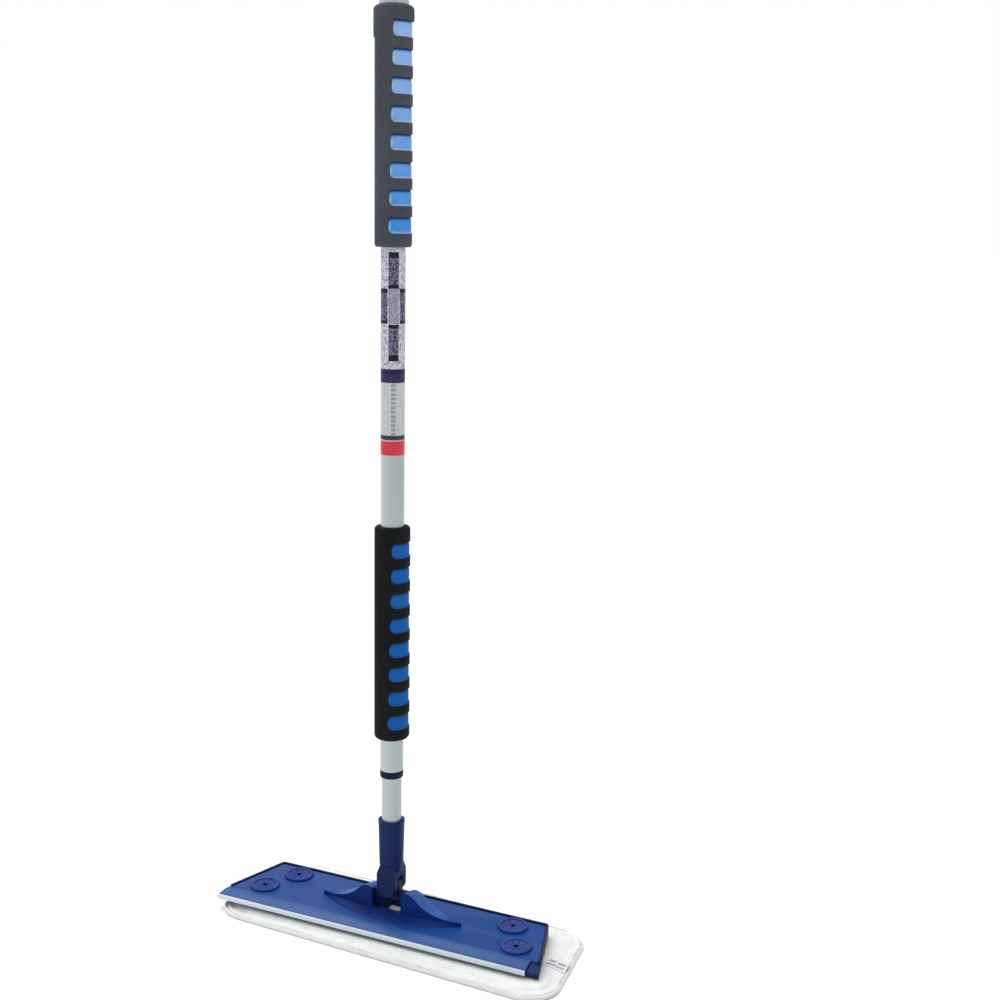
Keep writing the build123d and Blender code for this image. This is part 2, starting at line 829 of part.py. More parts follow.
def window_cutter(number, first_window, corner):
    """Solid that cuts one finger window through the skin, with rounded corners."""
    angle = window_angle(number)
    corner_angle = angle - degrees(corner / skin_radius)
    middle_z = first_window - number * window_pitch
    short_height = window_height - 2 * corner
    with BuildPart() as cutter:
        add(wedge(angle, middle_z - short_height / 2, short_height))
        add(wedge(corner_angle, middle_z - window_height / 2, window_height))
        for side in (-1, 1):
            outward = (cos(radians(corner_angle)), side * sin(radians(corner_angle)), 0)
            for offset_z in (-short_height / 2, short_height / 2):
                with BuildSketch(Plane((0, 0, middle_z + offset_z), z_dir=outward).offset(corner_start)):
                    Circle(corner)
                extrude(amount=flare_radius + cutter_depth - corner_start)
    return cutter.part


def build_grip(name, first_window, corner, top_z, bottom_z, flared):
    """Core and windowed skin of one hand grip on the outer tube."""
    with BuildPart() as core:
        with BuildSketch(Plane.XY.offset(bottom_z + 1)):
            Circle(core_radius - 0.02)
        extrude(amount=top_z - bottom_z - 3.1)
        with BuildSketch(Plane.XY.offset(bottom_z)):
            Circle(outer_tube_radius)
        extrude(amount=top_z - bottom_z, mode=Mode.SUBTRACT)
    save(core, f"{name}_core")

    with BuildPart() as skin:
        with BuildSketch(Plane.XY.offset(bottom_z)):
            Circle(skin_radius)
        extrude(amount=top_z - bottom_z)
        if flared:
            with BuildSketch(Plane.XY.offset(top_z - flare_length)):
                Circle(flare_radius)
            extrude(amount=flare_length)
            flare_edge = skin.edges().filter_by(GeomType.CIRCLE).group_by(Axis.Z)[-2]
            chamfer(flare_edge.sort_by(SortBy.RADIUS)[-1], 0.9)
        fillet(skin.faces().sort_by(Axis.Z)[-1].edges(), 5.0 if flared else 3.6)
        fillet(skin.faces().sort_by(Axis.Z)[0].edges(), 4.0)
        for number in range(window_count):
            add(window_cutter(number, first_window, corner), mode=Mode.SUBTRACT)
        with BuildSketch(Plane.XY.offset(bottom_z - 1)):
            Circle(core_radius)
        extrude(amount=top_z - bottom_z - 1, mode=Mode.SUBTRACT)
        with BuildSketch(Plane.XY.offset(bottom_z - 1)):
            Circle(outer_tube_radius + 0.02)
        extrude(amount=top_z - bottom_z + 2, mode=Mode.SUBTRACT)
    save(skin, f"{name}_skin")


build_grip("upper_grip", upper_first_window, upper_window_corner, 982.0, 747.5, flared=True)
build_grip("lower_grip", lower_first_window, lower_window_corner, 459.0, 224.5, flared=False)

# ---- Printed film on the outer tube ----------------------------------------------------------

for film_name, low_z, high_z in (
    ("handle_label", label_bottom, label_top),
    ("marker_band", marker_bottom, marker_top),
):
    with BuildPart() as film:
        with BuildSketch(Plane.XY.offset(low_z)):
            Circle(outer_tube_radius + film_thickness)
            Circle(outer_tube_radius, mode=Mode.SUBTRACT)
        extrude(amount=high_z - low_z)
    save(film, film_name)
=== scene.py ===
"""Looks of the telescopic flat mop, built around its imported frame."""
import json
from math import atan2, cos, hypot, pi, radians, sin

import bpy
from mathutils import Matrix, Vector, noise

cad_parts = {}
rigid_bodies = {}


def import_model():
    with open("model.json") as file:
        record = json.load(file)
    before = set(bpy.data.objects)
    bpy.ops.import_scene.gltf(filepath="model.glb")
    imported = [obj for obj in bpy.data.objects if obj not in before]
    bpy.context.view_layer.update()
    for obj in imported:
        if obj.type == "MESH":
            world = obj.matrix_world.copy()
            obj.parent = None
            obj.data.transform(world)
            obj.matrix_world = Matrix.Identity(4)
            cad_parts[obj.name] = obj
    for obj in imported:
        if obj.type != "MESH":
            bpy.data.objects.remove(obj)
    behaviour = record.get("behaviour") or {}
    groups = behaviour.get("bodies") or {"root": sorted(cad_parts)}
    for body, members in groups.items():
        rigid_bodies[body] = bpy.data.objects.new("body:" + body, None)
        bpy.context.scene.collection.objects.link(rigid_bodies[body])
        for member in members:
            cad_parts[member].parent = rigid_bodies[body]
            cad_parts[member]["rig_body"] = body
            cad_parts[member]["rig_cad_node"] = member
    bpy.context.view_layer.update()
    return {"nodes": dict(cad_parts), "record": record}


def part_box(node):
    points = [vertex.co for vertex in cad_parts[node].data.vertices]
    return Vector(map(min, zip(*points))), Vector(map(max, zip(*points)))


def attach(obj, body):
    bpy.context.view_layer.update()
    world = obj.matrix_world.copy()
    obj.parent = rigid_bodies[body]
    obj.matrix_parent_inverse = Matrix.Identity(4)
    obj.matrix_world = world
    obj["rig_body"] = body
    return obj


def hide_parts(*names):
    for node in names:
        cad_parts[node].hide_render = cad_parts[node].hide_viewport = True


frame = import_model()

MM = 0.001

# ---- Camera, floor and light -----------------------------------------------------------------


def select_only(*objects):
    """Deselect everything, then select these objects, the first one active."""
    bpy.ops.object.select_all(action="DESELECT")
    for thing in objects:
        thing.select_set(True)
    bpy.context.view_layer.objects.active = objects[0]


def make_camera():
    """A 51 mm lens at waist height, in front and to the right of the mop, rolled a little."""
    place = Vector((0.7044, -1.2865, 0.7847))
    heading = radians(24.29)
    pitch_down = radians(11.44)
    roll = radians(1.05)
    bpy.ops.object.camera_add()
    camera = bpy.context.object
    camera.name = "camera"
    camera.data.lens = 51.17
    camera.data.sensor_width = 36.0
    turn = Matrix.Rotation(heading, 4, "Z") @ Matrix.Rotation(pi / 2 - pitch_down, 4, "X")
    camera.matrix_world = Matrix.Translation(place) @ turn @ Matrix.Rotation(roll, 4, "Z")
    bpy.context.scene.camera = camera


def srgb(colour):
    """Linear RGBA of an sRGB hex colour."""
    channels = [int(colour[i:i + 2], 16) / 255 for i in (1, 3, 5)]
    return [c / 12.92 if c <= 0.04045 else ((c + 0.055) / 1.055) ** 2.4 for c in channels] + [1.0]


def add_node(tree, kind, values=None, links=None, **settings):
    """Add a node with its settings, socket values and links from other nodes' outputs."""
    made = tree.nodes.new(kind)
    for key, value in settings.items():
        setattr(made, key, value)
    for socket, value in (values or {}).items():
        made.inputs[socket].default_value = value
    for socket, source in (links or {}).items():
        tree.links.new(source, made.inputs[socket])
    return made


def new_material(name):
    """An empty material: its node tree, its Principled shader and the material."""
    material = bpy.data.materials.new(name)
    material.use_nodes = True
    tree = material.node_tree
    tree.nodes.clear()
    shader = add_node(tree, "ShaderNodeBsdfPrincipled")
    add_node(tree, "ShaderNodeOutputMaterial", links={"Surface": shader.outputs["BSDF"]})
    return material, tree, shader


def make_stage():
    """A plain white floor under an even white sky, with a broad soft sun from above."""
    bpy.ops.mesh.primitive_plane_add(size=60)
    floor = bpy.context.object
    floor.name = "floor"
    material, tree, shader = new_material("matt white paper")
    shader.inputs["Base Color"].default_value = srgb("#F7F7F7")
    shader.inputs["Roughness"].default_value = 0.9
    shader.inputs["Specular IOR Level"].default_value = 0.1
    floor.data.materials.append(material)

    world = bpy.data.worlds.new("studio")
    bpy.context.scene.world = world
    world.use_nodes = True
    sky = world.node_tree
    sky.nodes.clear()
    path = add_node(sky, "ShaderNodeLightPath")
    lit = add_node(sky, "ShaderNodeBackground", {"Color": srgb("#FFFFFF"), "Strength": 0.55})
    seen = add_node(sky, "ShaderNodeBackground", {"Color": srgb("#FFFFFF"), "Strength": 1.0})
    mix = add_node(
        sky,
        "ShaderNodeMixShader",
        links={0: path.outputs["Is Camera Ray"], 1: lit.outputs[0], 2: seen.outputs[0]},
    )
    add_node(sky, "ShaderNodeOutputWorld", links={"Surface": mix.outputs[0]})

    bpy.ops.object.light_add(type="SUN", rotation=(radians(-12), radians(-22), 0))
    sun = bpy.context.object
    sun.name = "soft sun"
    sun.data.energy = 2.3
    sun.data.angle = radians(60)
    bpy.context.scene.view_settings.view_transform = "Standard"


make_camera()
make_stage()

# ---- Materials -------------------------------------------------------------------------------


def speckle(tree, feature_mm, detail=2.0, stretch=(1, 1, 1)):
    """Noise on the object's own coordinates, with features of about feature_mm."""
    place = add_node(tree, "ShaderNodeTexCoord")
    mapping = add_node(
        tree, "ShaderNodeMapping", {"Scale": stretch}, {"Vector": place.outputs["Object"]}
    )
    return add_node(
        tree,
        "ShaderNodeTexNoise",
        {"Scale": 1 / (feature_mm * MM), "Detail": detail},
        {"Vector": mapping.outputs["Vector"]},
    )


def two_tone(tree, shader, source, low, high, edges=(0.35, 0.65)):
    """Base colour that runs from low to high as source passes between edges."""
    ramp = add_node(tree, "ShaderNodeValToRGB", links={"Fac": source})
    ramp.color_ramp.elements[0].position, ramp.color_ramp.elements[1].position = edges
    ramp.color_ramp.elements[0].color = srgb(low)
    ramp.color_ramp.elements[1].color = srgb(high)
    tree.links.new(ramp.outputs["Color"], shader.inputs["Base Color"])


def relief(tree, shader, source, depth_mm, strength=0.6):
    """Bump of a real depth from a height pattern."""
    bump = add_node(
        tree,
        "ShaderNodeBump",
        {"Strength": strength, "Distance": depth_mm * MM},
        {"Height": source},
    )
    tree.links.new(bump.outputs["Normal"], shader.inputs["Normal"])


def cover(tree, shader, layers):
    """Lay colours over the base colour, each one where its mask is 1."""
    below = shader.inputs["Base Color"].links[0].from_socket
    for mask, colour in layers:
        layer = add_node(
            tree, "ShaderNodeMix", {7: srgb(colour)}, {0: mask, 6: below}, data_type="RGBA"
        )
        below = layer.outputs[2]
    tree.links.new(below, shader.inputs["Base Color"])


def moulded(name, low, high, roughness, specular=0.3, grain_mm=1.2, relief_mm=0.04):
    """Moulded plastic or rubber: slow cloudy colour and spark-eroded grain, drawn about twice
    as coarse as the real 0.5 mm so that it shows."""
    material, tree, shader = new_material(name)
    grain = speckle(tree, grain_mm)
    cloud = speckle(tree, 45, detail=4)
    two_tone(tree, shader, cloud.outputs["Fac"], low, high)
    relief(tree, shader, grain.outputs["Fac"], relief_mm)
    shader.inputs["Roughness"].default_value = roughness
    shader.inputs["IOR"].default_value = 1.49
    shader.inputs["Specular IOR Level"].default_value = specular
    return material


def drawn_aluminium():
    """Clear-anodised drawn aluminium tube: satin grey, a little duller and greener towards one
    side as painted shade, with faint lines along it that are about 0.2 mm apart and drawn 1 mm
    apart to show."""
    material, tree, shader = new_material("clear anodised drawn aluminium")
    lines = speckle(tree, 1.0, detail=3, stretch=(1, 1, 0.01))
    place = add_node(tree, "ShaderNodeTexCoord")
    split = add_node(tree, "ShaderNodeSeparateXYZ", links={0: place.outputs["Object"]})
    # Painted shade: the tube darkens across its width towards +x.
    side = add_node(
        tree, "ShaderNodeMapRange", {1: -12 * MM, 2: 12 * MM, 3: 0.0, 4: 0.9}, {0: split.outputs[0]}
    )
    both = add_node(
        tree,
        "ShaderNodeMath",
        {1: 0.15},
        {0: lines.outputs["Fac"], 2: side.outputs[0]},
        operation="MULTIPLY_ADD",
    )
    two_tone(tree, shader, both.outputs[0], "#C4C8CA", "#A3AFB0", (0.05, 1.0))
    relief(tree, shader, lines.outputs["Fac"], 0.01, 0.15)
    shader.inputs["Metallic"].default_value = 1.0
    shader.inputs["Roughness"].default_value = 0.38
    return material


def plated_steel():
    """Zinc-plated steel: dull blue-grey with a fine crystal mottle, drawn at 2 mm to show."""
    material, tree, shader = new_material("zinc-plated steel")
    crystals = speckle(tree, 2.0, detail=4)
    two_tone(tree, shader, crystals.outputs["Fac"], "#90929A", "#A6A8AF")
    relief(tree, shader, crystals.outputs["Fac"], 0.02, 0.3)
    shader.inputs["Metallic"].default_value = 0.6
    shader.inputs["Roughness"].default_value = 0.35
    return material


PLATE_BACK_Y = 46.7 * MM
PLATE_BACK_HALF = 171.0 * MM
END_SLOPE = 0.29
RIM_BAND = 3.2 * MM
PLATE_LAND_Y = -31.5 * MM


def plate_plastic():
    """Satin moulded polypropylene, greyer towards the left end and darker towards the right as
    painted shade, with more painted shade along the back and the ends where the wall turns
    down, and on the front land."""
    material, tree, shader = new_material("moulded mid blue polypropylene")
    grain = speckle(tree, 1.2)
    relief(tree, shader, grain.outputs["Fac"], 0.04)
    place = add_node(tree, "ShaderNodeTexCoord")
    split = add_node(tree, "ShaderNodeSeparateXYZ", links={0: place.outputs["Object"]})
    # Painted shade: the blue runs darker towards the right end and greyer towards the left.
    cloud = speckle(tree, 60, detail=4)
    along = add_node(
        tree, "ShaderNodeMapRange", {1: -0.2, 2: 0.2, 3: 0.15, 4: 0.85}, {0: split.outputs[0]}
    )
    both = add_node(
        tree,
        "ShaderNodeMath",
        {1: 0.35},
        {0: cloud.outputs["Fac"], 2: along.outputs[0]},
        operation="MULTIPLY_ADD",
    )
    two_tone(tree, shader, both.outputs[0], "#2C4C8C", "#0A4088", (0.3, 0.95))
    # The end wall is where |x| passes the half length, which grows towards the front.
    reach = add_node(tree, "ShaderNodeMath", links={0: split.outputs[0]}, operation="ABSOLUTE")
    slanted = add_node(
        tree,
        "ShaderNodeMath",
        {1: END_SLOPE},
        {0: split.outputs[1], 2: reach.outputs[0]},
        operation="MULTIPLY_ADD",
    )
    at_end = add_node(
        tree,
        "ShaderNodeMath",
        {1: PLATE_BACK_HALF + PLATE_BACK_Y * END_SLOPE - RIM_BAND},
        {0: slanted.outputs[0]},
        operation="GREATER_THAN",
    )
    at_back = add_node(
        tree,
        "ShaderNodeMath",
        {1: PLATE_BACK_Y - RIM_BAND},
        {0: split.outputs[1]},
        operation="GREATER_THAN",
    )
    rim = add_node(
        tree,
        "ShaderNodeMath",
        links={0: at_end.outputs[0], 1: at_back.outputs[0]},
        operation="MAXIMUM",
    )
    # Painted shade: the front land and the front wall below the lip are dark.
    at_land = add_node(
        tree,
        "ShaderNodeMath",
        {1: PLATE_LAND_Y},
        {0: split.outputs[1]},
        operation="LESS_THAN",
    )
    # Painted shade: a dark band along the back and end walls, and a dark front land.
    cover(tree, shader, [(rim.outputs[0], "#0F1A42"), (at_land.outputs[0], "#12295C")])
    shader.inputs["Roughness"].default_value = 0.45
    shader.inputs["Specular IOR Level"].default_value = 0.13
    return material


# Rows of the print, from and to, in mm above the floor.
BLOCK_ROWS = {"upper": (707.1, 743.6), "side": (671.6, 707.1), "lower": (633.7, 670.8)}
BAR_ROWS = (
    (737.8, 743.6), (707.1, 711.1), (702.6, 706.9), (671.6, 675.0), (667.0, 670.8), (633.7, 639.9)
)
LOW_ROWS = (557.0, 611.0)
BAND_ROWS = (611.3, 625.4)
BAND_PRINT_ROWS = (612.5, 620.0)
LINE_ROWS = (552.0, 556.7)
# Turns the print so that one of its middle columns faces the front right.
PRINT_TURN = radians(58.8)
DASH_PITCH = 4.6 * MM
DASH_SHARE = 0.7


def printed_film():
    """Clear gloss film on silver ground: staggered navy blocks round the tube with solid bars at
    their ends and a mottle inside, one solid band, a row of dashes and plain grey flecks."""
    material, tree, shader = new_material("printed clear film")
    place = add_node(tree, "ShaderNodeTexCoord")
    turned = add_node(
        tree,
        "ShaderNodeMapping",
        {"Rotation": (0, 0, PRINT_TURN)},
        {"Vector": place.outputs["Object"]},
    )
    split = add_node(tree, "ShaderNodeSeparateXYZ", links={0: turned.outputs["Vector"]})
    height = split.outputs[2]
    angle = add_node(
        tree,
        "ShaderNodeMath",
        links={0: split.outputs[1], 1: split.outputs[0]},
        operation="ARCTAN2",
    )
    thrice = add_node(tree, "ShaderNodeMath", {1: 3.0}, {0: angle.outputs[0]}, operation="MULTIPLY")
    wave = add_node(tree, "ShaderNodeMath", links={0: thrice.outputs[0]}, operation="COSINE")
    columns = {
        "middle": add_node(
            tree, "ShaderNodeMath", {1: 0.29}, {0: wave.outputs[0]}, operation="GREATER_THAN"
        ).outputs[0],
        "side": add_node(
            tree, "ShaderNodeMath", {1: 0.0}, {0: wave.outputs[0]}, operation="LESS_THAN"
        ).outputs[0],
    }

    def rows(*spans):
        """1 where the height lies in one of the spans, given in mm."""
        total = None
        for low, high in spans:
            half = (high - low) / 2 * MM
            band = add_node(
                tree,
                "ShaderNodeMath",
                {1: (low + high) / 2 * MM, 2: half},
                {0: height},
                operation="COMPARE",
            ).outputs[0]
            if total is None:
                total = band
            else:
                total = add_node(
                    tree, "ShaderNodeMath", links={0: total, 1: band}, operation="MAXIMUM"
                ).outputs[0]
        return total

    def both(first, second):
        """1 where both masks are 1."""
        return add_node(
            tree, "ShaderNodeMath", links={0: first, 1: second}, operation="MULTIPLY"
        ).outputs[0]

    middle_blocks = both(columns["middle"], rows(BLOCK_ROWS["upper"], BLOCK_ROWS["lower"]))
    side_blocks = both(columns["side"], rows(BLOCK_ROWS["side"]))
    blocks = add_node(
        tree, "ShaderNodeMath", links={0: middle_blocks, 1: side_blocks}, operation="MAXIMUM"
    ).outputs[0]
    bars = both(blocks, rows(*BAR_ROWS))
    flecks = speckle(tree, 1.3, detail=1)
    mottle = add_node(
        tree, "ShaderNodeMapRange", {1: 0.46, 2: 0.54, 3: 0.0, 4: 0.9}, {0: flecks.outputs["Fac"]}
    ).outputs[0]
    scuffs = add_node(
        tree, "ShaderNodeMapRange", {1: 0.5, 2: 0.62, 3: 0.0, 4: 0.8}, {0: flecks.outputs["Fac"]}
    ).outputs[0]
    ground = speckle(tree, 2.4, detail=2, stretch=(1, 1, 0.7))
    two_tone(tree, shader, ground.outputs["Fac"], "#9695A6", "#D4D3DE", (0.40, 0.54))
    narrow = add_node(
        tree, "ShaderNodeMath", {1: 0.0, 2: 0.2}, {0: angle.outputs[0]}, operation="COMPARE"
    ).outputs[0]
    low_zone = rows(LOW_ROWS)
    side_gap = both(columns["middle"], rows(BLOCK_ROWS["side"]))
    stepped = add_node(
        tree, "ShaderNodeMath", {1: DASH_PITCH}, {0: height}, operation="MODULO"
    )
    dashes = add_node(
        tree,
        "ShaderNodeMath",
        {1: DASH_PITCH * DASH_SHARE},
        {0: stepped.outputs[0]},
        operation="LESS_THAN",
    ).outputs[0]
    cover(
        tree,
        shader,
        [
            (side_gap, "#A9A8B8"),
            (both(side_gap, mottle), "#828296"),
            (low_zone, "#CDD0D2"),
            (both(low_zone, scuffs), "#B0B2BA"),
            (both(both(low_zone, narrow), dashes), "#989EA6"),
            (blocks, "#2C2848"),
            (both(blocks, mottle), "#8886A2"),
            (bars, "#0B0920"),
            (rows(BAND_ROWS), "#1C1844"),
            (both(rows(BAND_PRINT_ROWS), mottle), "#3C3866"),
            (rows(LINE_ROWS), "#3A3348"),
        ],
    )
    shader.inputs["Roughness"].default_value = 0.4
    shader.inputs["Specular IOR Level"].default_value = 0.25
    return material


# The wave texture repeats at this distance when its scale is 1.
WAVE_PERIOD = 0.314


def woven(name, low, high, thread_mm, relief_mm, fuzz=0.3):
    """Cloth on the object's own coordinates: threads crossing at thread_mm with uneven tone."""
    material, tree, shader = new_material(name)
    place = add_node(tree, "ShaderNodeTexCoord")
    waves = []
    for direction in ("X", "Y"):
        waves.append(
            add_node(
                tree,
                "ShaderNodeTexWave",
                {"Scale": WAVE_PERIOD / (thread_mm * MM), "Distortion": 0.8, "Detail": 1.0},
                {"Vector": place.outputs["Object"]},
                bands_direction=direction,
            )
        )
    weave = add_node(
        tree,
        "ShaderNodeMath",
        links={0: waves[0].outputs["Fac"], 1: waves[1].outputs["Fac"]},
        operation="ADD",
    )
    fibre = speckle(tree, 0.9, detail=3)
    height = add_node(
        tree,
        "ShaderNodeMath",
        {1: 0.5},
        {0: fibre.outputs["Fac"], 2: weave.outputs[0]},
        operation="MULTIPLY_ADD",
    )
    cloud = speckle(tree, 14, detail=4)
    two_tone(tree, shader, cloud.outputs["Fac"], low, high)
    relief(tree, shader, height.outputs[0], relief_mm, 0.5)
    shader.inputs["Roughness"].default_value = 0.95
    shader.inputs["Specular IOR Level"].default_value = 0.1
    shader.inputs["Sheen Weight"].default_value = fuzz
    shader.inputs["Sheen Roughness"].default_value = 0.5
    return material


PAD_CENTRE = (14.0 * MM, 6.0 * MM)
PAD_TURN = radians(-2.3)
TAG_CENTRE = (202.0 * MM, -6.0 * MM)
TAG_SIZE = (26 * MM, 17 * MM)
# The tag's bars in mm: place across it and half height, then place along it and half width.
TAG_BARS = ((4.4, 2.0, -6.5, 3.6), (4.4, 2.0, 4.0, 4.6), (-2.6, 1.6, -1.0, 10.5))


def printed_tag():
    """White woven tape with three plain grey bars, the lower one longer."""
    material = woven("white woven tape with grey bars", "#DADBDD", "#E6E7E8", 0.8, 0.06, 0.1)
    tree = material.node_tree
    shader = next(each for each in tree.nodes if each.type == "BSDF_PRINCIPLED")
    place = add_node(tree, "ShaderNodeTexCoord")
    turned = add_node(
        tree,
        "ShaderNodeMapping",
        {"Rotation": (0, 0, -PAD_TURN)},
        {"Vector": place.outputs["Object"]},
    )
    split = add_node(tree, "ShaderNodeSeparateXYZ", links={0: turned.outputs["Vector"]})
    middle = Matrix.Rotation(-PAD_TURN, 2) @ Vector(TAG_CENTRE)
    layers = []
    for across, tall, along, wide in TAG_BARS:
        spans = [
            add_node(
                tree,
                "ShaderNodeMath",
                {1: centre + shift * MM, 2: half * MM},
                {0: split.outputs[axis]},
                operation="COMPARE",
            ).outputs[0]
            for axis, centre, shift, half in (
                (0, middle[0], along, wide),
                (1, middle[1], across, tall),
            )
        ]
        bar = add_node(
            tree, "ShaderNodeMath", links={0: spans[0], 1: spans[1]}, operation="MULTIPLY"
        )
        layers.append((bar.outputs[0], "#A0A0AC"))
    cover(tree, shader, layers)
    return material


def pivot_plastic():
    """Moulded blue polypropylene, deep and dark as painted shade on its front faces, with
    painted light paler along the upward tops of its two wings.
    """
    material = moulded("moulded blue polypropylene, painted shade and top light", "#00256A", "#022C78", 0.5, 0.1)
    tree = material.node_tree
    shader = next(each for each in tree.nodes if each.type == "BSDF_PRINCIPLED")
    place = add_node(tree, "ShaderNodeTexCoord")
    position = add_node(tree, "ShaderNodeSeparateXYZ", links={0: place.outputs["Object"]})
    facing = add_node(tree, "ShaderNodeSeparateXYZ", links={0: place.outputs["Normal"]})
    # Painted light: high faces turned upwards are paler.
    raised = add_node(
        tree, "ShaderNodeMapRange", {1: 24 * MM, 2: 28 * MM}, {0: position.outputs[2]}
    )
    upward = add_node(tree, "ShaderNodeMapRange", {1: 0.3, 2: 0.7}, {0: facing.outputs[2]})
    painted_light = add_node(
        tree,
        "ShaderNodeMath",
        links={0: raised.outputs[0], 1: upward.outputs[0]},
        operation="MULTIPLY",
    )
    cover(tree, shader, [(painted_light.outputs[0], "#3A60A8")])
    return material


FINISHES = {
    "tube_aluminium": drawn_aluminium(),
    # Glass-filled nylon: deep navy, satin, with a faint cloudy flow.
    "joint_navy": moulded("moulded navy nylon", "#0C1F52", "#11275E", 0.5, 0.16),
    # Polypropylene: saturated blue, dark as painted shade, with a soft wide highlight.
    "base_blue": pivot_plastic(),
    "plate_blue": plate_plastic(),
    # Soft vinyl strip: paler, smoother, drawn out in one piece with the lip.
    "bumper_blue": moulded("extruded light blue vinyl", "#1E4C8C", "#255494", 0.42, 0.28),
    "lip_white": moulded("extruded white vinyl", "#D2DEE8", "#DEE8F0", 0.45, 0.3),
    # Thermoplastic rubber: dull, dark, no sharp highlight.
    "gripper_navy": moulded("moulded navy rubber", "#20387E", "#284088", 0.6, 0.2),
    "grip_dark": moulded("soft black grip rubber", "#121517", "#181C1F", 0.8, 0.12, 0.8, 0.05),
    "grip_blue": moulded("soft deep blue grip rubber", "#0B4E94", "#1058A0", 0.7, 0.2),
    "pin_steel": plated_steel(),
    "hook_nylon": woven("woven nylon hook tape", "#1B1C20", "#2A2B30", 1.6, 0.4, 0.0),
    # Knitted microfibre: matt white with a loose loopy nap.
    "pad_fleece": woven("white knitted microfibre", "#E6E8E7", "#EEEFEE", 2.2, 0.18),
    "pad_edge": woven("white woven binding tape", "#E4E6E6", "#EDEEEE", 1.0, 0.08),
    "tag_print": printed_tag(),
    "label_film": printed_film(),
    "marker_red": moulded("red printed film", "#C4283A", "#D83546", 0.3, 0.3),
    "cap_grey": moulded("moulded pale grey ABS", "#C0C6D2", "#CAD0DA", 0.45, 0.35),
    "lock_plastic": moulded("moulded white acetal", "#DADAD4", "#E4E4DE", 0.35),
}
FINISHES["pad_foam"] = FINISHES["pad_fleece"]
# Finishes for single pieces: a grip paler as painted light, a darker navy for the collar,
# and a darker navy for the cross block as painted shade.
PAINTED_LIGHT_GRIP = moulded("soft dark grey grip rubber, paler as painted light", "#43484F", "#4B5057", 0.75, 0.2, 0.8, 0.05)
COLLAR_DARK = moulded("moulded dark navy nylon", "#0A1230", "#0E183A", 0.5, 0.15)
CROSS_PAINTED_SHADE = moulded("moulded navy acetal, dark as painted shade", "#06113A", "#0A1742", 0.45, 0.15)

for subpart in frame["record"]["subparts"]:
    cad_part = frame["nodes"][subpart["node"]]
    cad_part.data.materials.clear()
    cad_part.data.materials.append(FINISHES[subpart["material_slot"]])
SLOT_OF = {subpart["node"]: subpart["material_slot"] for subpart in frame["record"]["subparts"]}

# ---- Moulded pieces with their real soft edges -----------------------------------------------


def merged_copy(node, name):
    """A copy of a CAD node's mesh as an object of its own, its triangles merged."""
    select_only(frame["nodes"][node])
    bpy.ops.object.duplicate()
    piece = bpy.context.object
    piece.name = name
    bpy.ops.object.parent_clear(type="CLEAR_KEEP_TRANSFORM")
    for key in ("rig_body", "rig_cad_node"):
        if key in piece:
            del piece[key]
    bpy.ops.mesh.customdata_custom_splitnormals_clear()
    bpy.ops.object.mode_set(mode="EDIT")
    bpy.ops.mesh.select_all(action="SELECT")
    bpy.ops.mesh.remove_doubles(threshold=0.00001)
    bpy.ops.mesh.dissolve_limited(angle_limit=radians(0.4))
    bpy.ops.object.mode_set(mode="OBJECT")
    return piece


def apply_modifier(piece, kind, **settings):
    """Add a modifier, set it and apply it."""
    select_only(piece)
    bpy.ops.object.modifier_add(type=kind)
    modifier = piece.modifiers[-1]
    for key, value in settings.items():
        setattr(modifier, key, value)
    bpy.ops.object.modifier_apply(modifier=modifier.name)


SHARP_EDGE = radians(32)
SMOOTH_BELOW = radians(38)


def soften(piece, width_mm):
    """Round a moulding's sharp edges, then shade the curved faces smooth."""
    apply_modifier(
        piece,
        "BEVEL",
        width=width_mm * MM,
        segments=2,
        limit_method="ANGLE",
        angle_limit=SHARP_EDGE,
    )
    bpy.ops.object.shade_smooth_by_angle(angle=SMOOTH_BELOW)


def settle(piece, body, finish, slot, *nodes):
    """Give a piece its finish, and let it stand for CAD nodes on their body."""
    piece.data.materials.clear()
    piece.data.materials.append(finish)
    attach(piece, body)
    if nodes:
        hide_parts(*nodes)
    return piece


# Each moulding's body, and the width of its rounded edges in mm.
MOULDINGS = {
    "head_plate": ("head", 0.5),
    "front_bumper": ("head", 0.6),
    "bumper_lip": ("head", 0.5),
    "pivot_base": ("head", 0.8),
    "cross_block": ("cross", 0.8),
    "handle_socket": ("shaft", 0.9),
    "tube_collar": ("upper_handle", 0.4),
    "top_cap": ("upper_handle", 0.5),
}
# The cross block takes a darker navy as painted shade deep between the wings.
OWN_FINISH = {"tube_collar": COLLAR_DARK, "cross_block": CROSS_PAINTED_SHADE}
for node, (body, width) in MOULDINGS.items():
    moulding = merged_copy(node, f"moulded_{node}")
    soften(moulding, width)
    finish = OWN_FINISH.get(node, FINISHES[SLOT_OF[node]])
    settle(moulding, body, finish, SLOT_OF[node], node)

GRIPPER_EDGE_MM = 0.35

# One gripper is finished, and its three copies are moved to their own holes.
first_gripper = merged_copy("cloth_gripper_front_left", "gripper_front_left")
soften(first_gripper, GRIPPER_EDGE_MM)
first_low, first_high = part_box("cloth_gripper_front_left")
for place in ("back_left", "back_right", "front_right"):
    select_only(first_gripper)
    bpy.ops.object.duplicate()
    gripper = bpy.context.object
    gripper.name = f"gripper_{place}"
    low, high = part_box(f"cloth_gripper_{place}")
    gripper.data.transform(Matrix.Translation((low + high - first_low - first_high) / 2))
    settle(
        gripper, "head", FINISHES["gripper_navy"], "gripper_navy", f"cloth_gripper_{place}"
    )
settle(
    first_gripper, "head", FINISHES["gripper_navy"], "gripper_navy", "cloth_gripper_front_left"
)

# ---- Hand grips ------------------------------------------------------------------------------

